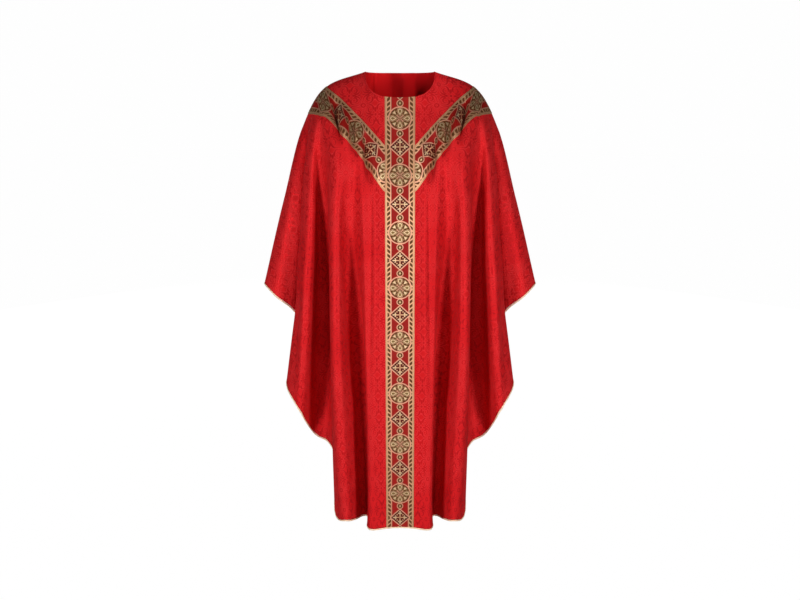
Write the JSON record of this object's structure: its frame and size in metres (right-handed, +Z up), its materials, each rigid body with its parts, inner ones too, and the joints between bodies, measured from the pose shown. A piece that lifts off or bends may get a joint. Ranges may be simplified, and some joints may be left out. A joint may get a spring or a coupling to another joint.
{
  "type": "semi-gothic chasuble",
  "caption": "Red damask semi-gothic chasuble in its worn, hollow form, with a gold galloon column and Y on front and back and a narrow gold hem edging.",
  "frame": {"origin": "middle of the neck opening at the height of the two neck points, where the wearer's shoulders hold the garment", "axes": "+Z up, +Y towards the back, so the front looks along -Y; +X towards the right of someone who faces the front"},
  "size_m": [0.7964, 0.3758, 1.301],
  "materials": {
    "damask": "red tone-on-tone damask with a satin sheen",
    "galloon": "woven gold galloon with a dark red ground",
    "edging": "fine pale gold braid"
  },
  "bodies": {
    "root": {"front_panel": "damask", "back_panel": "damask", "front_centre_galloon": "galloon", "back_centre_galloon": "galloon", "front_left_galloon": "galloon", "front_right_galloon": "galloon", "back_left_galloon": "galloon", "back_right_galloon": "galloon", "front_hem_edging": "edging", "back_hem_edging": "edging"}
  },
  "joints": []
}
